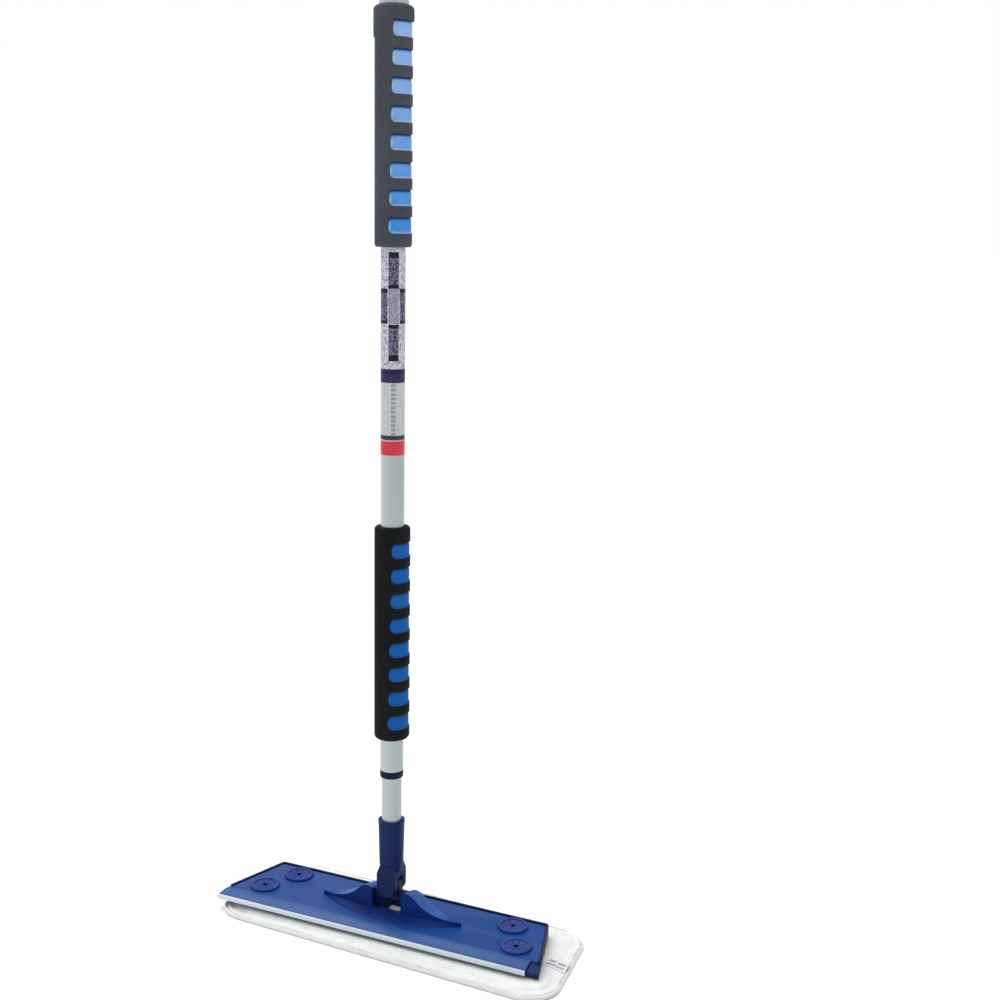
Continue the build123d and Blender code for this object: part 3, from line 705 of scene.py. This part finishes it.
CORE_RADIUS = 17.4 * MM
SKIN_RADIUS = 19.0 * MM
WINDOW_PITCH = 27.0 * MM
WINDOW_HALF_HEIGHT = 8.2 * MM
WINDOW_COUNT = 8
# Half sweep of the top and of the bottom window about +X, in degrees.
TOP_SWEEP, BOTTOM_SWEEP = 64, 76
FIRST_WINDOW = {"upper": 959.1 * MM, "lower": 435.0 * MM}
WINDOW_CORNER = {"upper": 3.2 * MM, "lower": 5.0 * MM}
DISH_WIDTH = 3.6 * MM
DISH_RISE = 1.35 * MM
PILLOW_RISE = 0.6 * MM
# How far under the skin the swelling of a window still reaches.
SKIN_LAP = 1.2 * MM
CORE_SIDES = 112
CORE_RINGS = 230
GRIP_SKIN_EDGE_MM = 0.4
# Where each change across a window starts, and how far it runs.
TOP_FADE = (1.5 * MM, 6 * MM)
PILLOW = (1 * MM, 4 * MM)
# Painted light: how far in from the rim it reaches, and how far below the top edge it starts.
RIM_LIGHT_EDGE = (0.3 * MM, 2.8 * MM)
RIM_LIGHT_TOP = (3 * MM, 4 * MM)
# Painted shade under a window's top edge and round its border: how far each fades.
TOP_SHADE_RUN = 2.2 * MM
RIM_SHADE_RUN = 1.8 * MM
# Corners of the part of a window left clear of painted shade, and how wide the painted
# shade round it is.
UNSHADED_CORNER = {"upper": 5.5 * MM, "lower": 7.4 * MM}
RIM_SHADE_OFFSET = {"upper": -0.9 * MM, "lower": -0.5 * MM}
TOP_SHADE_OFFSET = {"upper": 1.5 * MM, "lower": 0.5 * MM}


def core_rubber(name, upper_blue, lower_blue, painted_light, painted_shade_colour, ends):
    """Soft blue rubber seen in the finger windows: paler up the grip and pale where it swells to
    the skin's face as painted light, and dark under the windows' rims as painted shade."""
    material, tree, shader = new_material(name)
    place = add_node(tree, "ShaderNodeTexCoord")
    split = add_node(tree, "ShaderNodeSeparateXYZ", links={0: place.outputs["Object"]})
    cloud = speckle(tree, 9, detail=3)
    # Painted light: the blue runs paler towards the top of each grip.
    along = add_node(
        tree,
        "ShaderNodeMapRange",
        {1: ends[0], 2: ends[1], 3: 0.1, 4: 0.9},
        {0: split.outputs[2]},
    )
    both = add_node(
        tree,
        "ShaderNodeMath",
        {1: 0.3},
        {0: cloud.outputs["Fac"], 2: along.outputs[0]},
        operation="MULTIPLY_ADD",
    )
    two_tone(tree, shader, both.outputs[0], lower_blue, upper_blue, (0.2, 1.0))
    # Painted light where the core swells, and painted shade under the rims.
    painted_rim_light = add_node(tree, "ShaderNodeAttribute", attribute_name="painted_rim_light")
    painted_window_shade = add_node(tree, "ShaderNodeAttribute", attribute_name="painted_window_shade")
    partly = add_node(
        tree, "ShaderNodeMath", {1: 0.7}, {0: painted_rim_light.outputs["Fac"]}, operation="MULTIPLY"
    )
    cover(tree, shader, [(partly.outputs[0], painted_light), (painted_window_shade.outputs["Fac"], painted_shade_colour)])
    shader.inputs["Roughness"].default_value = 0.7
    shader.inputs["Specular IOR Level"].default_value = 0.2
    return material


# The upper grip's blues are paler than the lower's as painted light from above.
CORE_RUBBER = {
    "upper": core_rubber(
        "soft blue grip rubber, painted light and shade",
        upper_blue="#98BDF4",
        lower_blue="#3090E4",
        painted_light="#C0D2F8",
        painted_shade_colour="#1C3C6E",
        ends=(0.77, 0.96),
    ),
    "lower": core_rubber(
        "soft deep blue grip rubber, painted light and shade",
        upper_blue="#0660B2",
        lower_blue="#005AA8",
        painted_light="#0E66B0",
        painted_shade_colour="#0A1C36",
        ends=(0.25, 0.44),
    ),
}


def ease(value):
    """A smooth step from 0 to 1."""
    value = min(max(value, 0.0), 1.0)
    return value * value * (3 - 2 * value)


def window_place(grip, angle, z, corner):
    """How far inside its finger window a point lies, and how far below the window's top."""
    number = min(max(round((FIRST_WINDOW[grip] - z) / WINDOW_PITCH), 0), WINDOW_COUNT - 1)
    drop = z - (FIRST_WINDOW[grip] - number * WINDOW_PITCH)
    widening = BOTTOM_SWEEP - TOP_SWEEP
    sweep = radians(TOP_SWEEP + number * widening / (WINDOW_COUNT - 1))
    across = (sweep - abs(angle)) * SKIN_RADIUS
    above = WINDOW_HALF_HEIGHT - abs(drop)
    if across < corner and above < corner:
        return corner - hypot(corner - across, corner - above), WINDOW_HALF_HEIGHT - drop
    return min(across, above), WINDOW_HALF_HEIGHT - drop


def window_rise(inside, below_top):
    """How far the blue core swells at a point of a window: up to the skin's face at the lower
    edge and the sides, a little in the middle, and not at all under the top edge."""
    if inside < -SKIN_LAP:
        return 0.0
    rim = 1 - ease(inside / DISH_WIDTH)
    top_fade = ease((below_top - TOP_FADE[0]) / TOP_FADE[1])
    pillow = ease((inside - PILLOW[0]) / PILLOW[1])
    return DISH_RISE * rim * top_fade + PILLOW_RISE * pillow


def grip_core(grip, finish):
    """The blue core, dished in each finger window."""
    node = f"{grip}_grip_core"
    low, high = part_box(node)
    length = high.z - low.z
    bpy.ops.object.select_all(action="DESELECT")
    bpy.ops.mesh.primitive_cylinder_add(
        vertices=CORE_SIDES,
        radius=CORE_RADIUS,
        depth=length,
        end_fill_type="NOTHING",
        location=(0, 0, (low.z + high.z) / 2),
    )
    core = bpy.context.object
    core.name = f"{grip}_grip_dished_core"
    bpy.ops.object.transform_apply(location=True)
    bpy.ops.object.mode_set(mode="EDIT")
    bpy.ops.mesh.select_mode(type="EDGE")
    bpy.ops.mesh.select_all(action="DESELECT")
    bpy.ops.object.mode_set(mode="OBJECT")
    for edge in core.data.edges:
        first, second = (core.data.vertices[index].co.z for index in edge.vertices)
        edge.select = abs(first - second) > length / 2
    bpy.ops.object.mode_set(mode="EDIT")
    bpy.ops.mesh.subdivide_edgering(number_cuts=CORE_RINGS, interpolation="LINEAR", smoothness=0)
    bpy.ops.mesh.select_mode(type="VERT")
    bpy.ops.object.mode_set(mode="OBJECT")
    painted_rim_light = core.data.attributes.new("painted_rim_light", "FLOAT", "POINT")
    painted_window_shade = core.data.attributes.new("painted_window_shade", "FLOAT", "POINT")
    for vertex in core.data.vertices:
        x, y, z = vertex.co
        angle = atan2(y, x)
        inside, below_top = window_place(grip, angle, z, WINDOW_CORNER[grip])
        unshaded_inside, _ = window_place(grip, angle, z, UNSHADED_CORNER[grip])
        radius = CORE_RADIUS + window_rise(inside, below_top)
        vertex.co = (radius * cos(angle), radius * sin(angle), z)
        # Painted light near the rim where the core swells, and painted shade under the top edge and
        # round the window.
        near_rim = 1 - ease((inside - RIM_LIGHT_EDGE[0]) / RIM_LIGHT_EDGE[1])
        from_top = ease((below_top - RIM_LIGHT_TOP[0]) / RIM_LIGHT_TOP[1])
        painted_rim_light.data[vertex.index].value = near_rim * from_top
        painted_window_shade.data[vertex.index].value = max(
            1 - ease((below_top - TOP_SHADE_OFFSET[grip]) / TOP_SHADE_RUN),
            1 - ease((unshaded_inside - RIM_SHADE_OFFSET[grip]) / RIM_SHADE_RUN),
        )
    # The ends close against the tube.
    bpy.ops.object.mode_set(mode="EDIT")
    bpy.ops.mesh.select_all(action="DESELECT")
    bpy.ops.mesh.select_non_manifold()
    bpy.ops.mesh.edge_face_add()
    bpy.ops.object.mode_set(mode="OBJECT")
    bpy.ops.object.shade_smooth_by_angle(angle=SMOOTH_BELOW)
    settle(core, "upper_handle", finish, "grip_blue", node)


# The upper skin takes grip rubber made paler as painted light.
for grip, dark in (("upper", PAINTED_LIGHT_GRIP), ("lower", FINISHES["grip_dark"])):
    grip_core(grip, CORE_RUBBER[grip])
    skin = merged_copy(f"{grip}_grip_skin", f"{grip}_grip_soft_skin")
    soften(skin, GRIP_SKIN_EDGE_MM)
    settle(skin, "upper_handle", dark, "grip_dark", f"{grip}_grip_skin")

# ---- Mop pad ---------------------------------------------------------------------------------

PAD_HALF_DEPTH = 76.0 * MM
PAD_MEAN_HALF = 203.0 * MM
PAD_SIDE_SLOPE = 22.0 / 152.0
PAD_CORNER = 34.0 * MM
PAD_BOTTOM = 1.2 * MM
PAD_TOP = 6.9 * MM
PAD_EDGE_TOP = 4.3 * MM
PAD_SLOPE_WIDTH = 24.0 * MM
TAPE_WIDTH = 3.0 * MM
BODY_CELL_MM, PILE_CELL_MM, TAPE_CELL_MM = 3.2, 2.4, 1.1
# The cloth is held this far in from its edge, and puffs no further than the limit.
HELD_EDGE = 6.0 * MM
PUFF_LIMIT = 1.0 * MM
PUFF_FRAMES = 20
# The upper face lies above the first height, and the hook strips press it to the second.
UPPER_FACE = 3.5 * MM
STRIP_FACE = 7.3 * MM
EDGE_STITCH_INSET_MM = 4.4
SEAM_INSET_MM = 13.0
STITCH_SPACING_MM = 4.2
SEAM_HALF_WIDTH = 1.6 * MM
SEAM_DEPTH = 0.7 * MM
PILE_TOP = 2.6 * MM
CHANNEL_PITCH = 15.2 * MM
CHANNEL_HALF_WIDTH = 2.2 * MM
CHANNEL_DEPTH = 1.3 * MM
TUFT_SIZE = 4.5 * MM
TUFT_HEIGHT = 0.35 * MM
# Loops hang below the first height, and none stands above the second.
LOOPS_BELOW = 1.3 * MM
LOOPS_CEILING = 2.4 * MM
TAPE_WAVE_MM = 0.35
TAPE_WAVE_LENGTH = 16 * MM
CORNER_STEPS = 12
# A ray from here downwards meets the pad's upper face.
ABOVE_PAD = 0.05


def pad_axes(x, y):
    """A point in the pad's own axes."""
    dx, dy = x - PAD_CENTRE[0], y - PAD_CENTRE[1]
    c, s = cos(PAD_TURN), sin(PAD_TURN)
    return dx * c + dy * s, dy * c - dx * s


def pad_inset(x, y):
    """How far a point lies inside the pad's outer edge."""
    along, across = pad_axes(x, y)
    side = (PAD_MEAN_HALF - across * PAD_SIDE_SLOPE - abs(along)) * cos(PAD_SIDE_SLOPE)
    face = PAD_HALF_DEPTH - abs(across)
    if side < PAD_CORNER and face < PAD_CORNER:
        return PAD_CORNER - hypot(PAD_CORNER - side, PAD_CORNER - face)
    return min(side, face)


def pad_top(x, y):
    """Height of the pad's upper face: thin where it is sewn to the tape, full further in."""
    rise = ease((pad_inset(x, y) - TAPE_WIDTH) / PAD_SLOPE_WIDTH)
    return PAD_EDGE_TOP + (PAD_TOP - PAD_EDGE_TOP) * rise


def remesh(piece, size_mm):
    """Even small faces all over a piece."""
    apply_modifier(piece, "REMESH", mode="VOXEL", voxel_size=size_mm * MM)


def padded_body():
    """Foam under microfibre cloth, puffed by a short cloth simulation between its sewn edges."""
    body = merged_copy("pad_pile", "pad_cloth_body")
    pile_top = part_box("pad_pile")[1].z
    for vertex in body.data.vertices:
        vertex.co.z = PAD_TOP if vertex.co.z > pile_top / 2 else PAD_BOTTOM
    remesh(body, BODY_CELL_MM)
    for vertex in body.data.vertices:
        share = (vertex.co.z - PAD_BOTTOM) / (PAD_TOP - PAD_BOTTOM)
        vertex.co.z = PAD_BOTTOM + (pad_top(vertex.co.x, vertex.co.y) - PAD_BOTTOM) * share
    before = [vertex.co.copy() for vertex in body.data.vertices]
    sewn = body.vertex_groups.new(name="sewn")
    middle = (PAD_BOTTOM + PAD_TOP) / 2
    held = [
        vertex.index
        for vertex in body.data.vertices
        if pad_inset(vertex.co.x, vertex.co.y) < HELD_EDGE or vertex.co.z < middle * 0.6
    ]
    sewn.add(held, 1.0, "REPLACE")
    select_only(body)
    bpy.ops.object.modifier_add(type="CLOTH")
    cloth = body.modifiers[-1]
    cloth.settings.use_pressure = True
    cloth.settings.uniform_pressure_force = 4
    cloth.settings.vertex_group_mass = "sewn"
    cloth.settings.shrink_min = -0.03
    cloth.settings.effector_weights.gravity = 0
    for frame_number in range(1, PUFF_FRAMES + 1):
        bpy.context.scene.frame_set(frame_number)
    bpy.ops.object.modifier_apply(modifier=cloth.name)
    bpy.context.scene.frame_set(1)
    for vertex, start in zip(body.data.vertices, before):
        move = vertex.co - start
        if move.length > PUFF_LIMIT:
            vertex.co = start + move * (PUFF_LIMIT / move.length)
    apply_modifier(body, "SUBSURF", levels=1, render_levels=1)
    # A sewn line all round, and a flat top where the hook strips press.
    for vertex in body.data.vertices:
        inset = pad_inset(vertex.co.x, vertex.co.y)
        if vertex.co.z > UPPER_FACE:
            seam = (inset - SEAM_INSET_MM * MM) / SEAM_HALF_WIDTH
            vertex.co.z -= SEAM_DEPTH * max(0.0, 1 - seam * seam)
        if inset > TAPE_WIDTH:
            vertex.co.z = min(vertex.co.z, STRIP_FACE)
    bpy.ops.object.shade_smooth()
    return settle(
        body, "pad", FINISHES["pad_fleece"], "pad_fleece", "pad_core", "pad_backing"
    )


def pile_face():
    """The mopping face: rows of short loops between sewn channels."""
    pile = merged_copy("pad_pile", "pad_looped_pile")
    pile_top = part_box("pad_pile")[1].z
    for vertex in pile.data.vertices:
        if vertex.co.z > pile_top / 2:
            vertex.co.z = PILE_TOP
    remesh(pile, PILE_CELL_MM)
    for vertex in pile.data.vertices:
        if vertex.co.z < LOOPS_BELOW:
            along, across = pad_axes(vertex.co.x, vertex.co.y)
            from_channel = abs((across / CHANNEL_PITCH) % 1.0 - 0.5) * CHANNEL_PITCH
            channel = max(0.0, 1 - from_channel / CHANNEL_HALF_WIDTH)
            tuft = noise.noise(Vector((along, across, 0)) / TUFT_SIZE)
            vertex.co.z += CHANNEL_DEPTH * channel + TUFT_HEIGHT * (tuft + 0.8) * (1 - channel)
            vertex.co.z = min(max(vertex.co.z, 0.0), LOOPS_CEILING)
    select_only(pile)
    bpy.ops.object.shade_smooth()
    return settle(pile, "pad", FINISHES["pad_fleece"], "pad_fleece", "pad_pile")


def edge_tape():
    """Woven tape folded round the pad's edge, a little uneven as sewn tape is."""
    tape = merged_copy("pad_binding", "pad_edge_tape")
    remesh(tape, TAPE_CELL_MM)
    low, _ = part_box("pad_binding")
    for vertex in tape.data.vertices:
        flat = 0.25 + 0.75 * ease((pad_inset(vertex.co.x, vertex.co.y) + 0.3 * MM) / TAPE_WIDTH)
        vertex.co.z = low.z + (vertex.co.z - low.z) * flat
        ripple = noise.noise(Vector(vertex.co) / TAPE_WAVE_LENGTH)
        outward = (Vector((vertex.co.x, vertex.co.y, 0)) - Vector((*PAD_CENTRE, 0))).normalized()
        vertex.co += outward * TAPE_WAVE_MM * MM * ripple
    apply_modifier(tape, "SMOOTH", iterations=4, factor=0.5)
    bpy.ops.object.shade_smooth()
    settle(tape, "pad", FINISHES["pad_edge"], "pad_edge", "pad_binding")


def pad_ring(inset_mm, spacing_mm):
    """Points and headings round the pad at a distance inside its edge, evenly spaced."""
    inset = inset_mm * MM
    radius = PAD_CORNER - inset
    front = PAD_MEAN_HALF + PAD_HALF_DEPTH * PAD_SIDE_SLOPE
    back = PAD_MEAN_HALF - PAD_HALF_DEPTH * PAD_SIDE_SLOPE
    lean = atan2(front - back, 2 * PAD_HALF_DEPTH)
    outline = []
    for x, y, start, end in (
        (front, -PAD_HALF_DEPTH, -pi / 2, lean),
        (back, PAD_HALF_DEPTH, lean, pi / 2),
        (-back, PAD_HALF_DEPTH, pi / 2, pi - lean),
        (-front, -PAD_HALF_DEPTH, pi - lean, 3 * pi / 2),
    ):
        side_x = 1 if x > 0 else -1
        side_y = 1 if y > 0 else -1
        centre_y = y - side_y * PAD_CORNER
        half = PAD_MEAN_HALF - centre_y * PAD_SIDE_SLOPE
        centre_x = side_x * (half - PAD_CORNER / cos(lean))
        for step in range(CORNER_STEPS + 1):
            turn = start + (end - start) * step / CORNER_STEPS
            outline.append(
                Vector((centre_x + radius * cos(turn), centre_y + radius * sin(turn)))
            )
    outline.append(outline[0])
    ring, carried = [], 0.0
    for here, there in zip(outline, outline[1:]):
        step = there - here
        while carried < step.length:
            ring.append((here + step.normalized() * carried, atan2(step.y, step.x)))
            carried += spacing_mm * MM
        carried -= step.length
    turn = Matrix.Rotation(PAD_TURN, 2)
    return [(turn @ point + Vector(PAD_CENTRE), heading + PAD_TURN) for point, heading in ring]


STITCH_RADIUS = 0.5 * MM
STITCH_SHAPE = (2.7, 0.62, 0.5)
STITCH_LIFT = 0.05 * MM


def stitches(name, base, inset_mm, spacing_mm):
    """A row of thread stitches round the pad, one stitch copied along the sewn line."""
    bpy.ops.object.select_all(action="DESELECT")
    bpy.ops.mesh.primitive_uv_sphere_add(segments=8, ring_count=5, radius=STITCH_RADIUS)
    first = bpy.context.object
    bpy.ops.object.mode_set(mode="EDIT")
    bpy.ops.mesh.select_all(action="SELECT")
    bpy.ops.transform.resize(value=STITCH_SHAPE, center_override=(0, 0, 0))
    bpy.ops.object.mode_set(mode="OBJECT")
    made = [first]
    plain = first.data.copy()
    for number, (point, heading) in enumerate(pad_ring(inset_mm, spacing_mm)):
        hit, where, _, _ = base.ray_cast((point.x, point.y, ABOVE_PAD), (0, 0, -1))
        height = where.z if hit else PAD_EDGE_TOP
        if number:
            stitch = bpy.data.objects.new(name, plain.copy())
            bpy.context.scene.collection.objects.link(stitch)
            made.append(stitch)
        place = Matrix.Translation((point.x, point.y, height + STITCH_LIFT))
        made[-1].data.transform(place @ Matrix.Rotation(heading, 4, "Z"))
    select_only(*made)
    bpy.ops.object.join()
    row = bpy.context.object
    row.name = name
    bpy.ops.object.shade_smooth()
    settle(row, "pad", FINISHES["pad_edge"], "pad_edge")


# The tag's free end lifts from this place along +X, over this run.
TAG_LIFT_MM = 0.3
TAG_LIFT_FROM = 0.209
TAG_LIFT_RUN = 0.006
TAG_GAP = 0.22 * MM
TAG_THICKNESS = 0.25 * MM


def sewn_tag(base):
    """A short tape tag that lies on the pad's slope, its free end lifting a little."""
    bpy.ops.object.select_all(action="DESELECT")
    bpy.ops.mesh.primitive_grid_add(x_subdivisions=26, y_subdivisions=17, size=1.0)
    tag = bpy.context.object
    tag.name = "pad_tape_tag"
    place = Matrix.Translation((*TAG_CENTRE, 0)) @ Matrix.Rotation(PAD_TURN, 4, "Z")
    tag.data.transform(place @ Matrix.Diagonal((*TAG_SIZE, 1, 1)))
    for vertex in tag.data.vertices:
        hit, where, _, _ = base.ray_cast((vertex.co.x, vertex.co.y, ABOVE_PAD), (0, 0, -1))
        lift = TAG_LIFT_MM * ease((vertex.co.x - TAG_LIFT_FROM) / TAG_LIFT_RUN) * MM
        vertex.co.z = (where.z if hit else PAD_TOP) + TAG_GAP + lift
    apply_modifier(tag, "SMOOTH", iterations=6, factor=0.5)
    apply_modifier(tag, "SOLIDIFY", thickness=TAG_THICKNESS, offset=1.0)
    bpy.ops.object.shade_smooth_by_angle(angle=SMOOTH_BELOW)
    settle(tag, "pad", FINISHES["tag_print"], "tag_print", "pad_tag")


pad_body = padded_body()
pile_face()
edge_tape()
stitches("pad_edge_stitches", pad_body, EDGE_STITCH_INSET_MM, STITCH_SPACING_MM)
stitches("pad_seam_stitches", pad_body, SEAM_INSET_MM, STITCH_SPACING_MM)
sewn_tag(pad_body)
